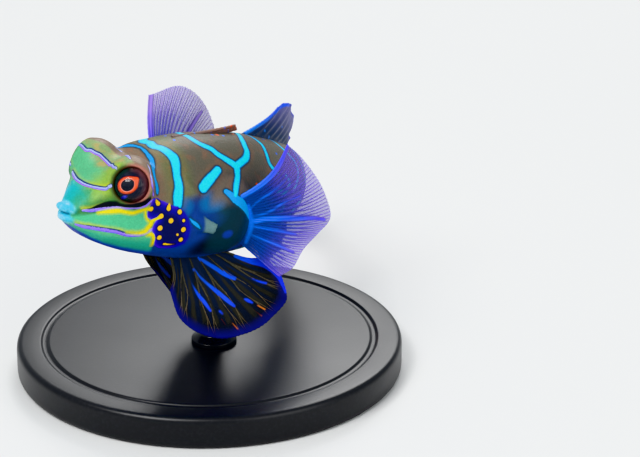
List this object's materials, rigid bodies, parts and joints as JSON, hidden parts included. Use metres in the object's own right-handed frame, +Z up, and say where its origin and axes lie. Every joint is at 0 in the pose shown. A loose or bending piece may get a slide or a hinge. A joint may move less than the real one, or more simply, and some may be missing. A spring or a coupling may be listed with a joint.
{
  "type": "mandarinfish model",
  "caption": "Life-size mandarinfish, head raised and tail curled to its right, fins spread, held by a rod on a round stand.",
  "frame": {"origin": "centre of the round base's underside, at the floor", "axes": "+Z up, -Y ahead of the fish's head, +X to the fish's left; the tail curls towards -X"},
  "size_m": [0.053, 0.0563, 0.0339],
  "materials": {
    "skin": "moist scaleless fish skin, olive brown with cyan, green, violet and yellow markings",
    "fin": "thin fin membrane over raised rays, dark olive to deep blue",
    "eye": "moist eyeball with an orange red iris and a dark pupil",
    "cornea": "clear cornea",
    "stand": "plain black, softly polished"
  },
  "bodies": {
    "root": {"head": "skin", "trunk": "skin", "tail": "skin", "eye_left": "eye", "eye_right": "eye", "pectoral_fin_left": "fin", "pectoral_fin_right": "fin", "pelvic_fin_left": "fin", "pelvic_fin_right": "fin", "first_dorsal_fin": "fin", "second_dorsal_fin": "fin", "anal_fin": "fin", "caudal_fin": "fin", "stand_base": "stand", "stand_rod": "stand"}
  },
  "joints": []
}
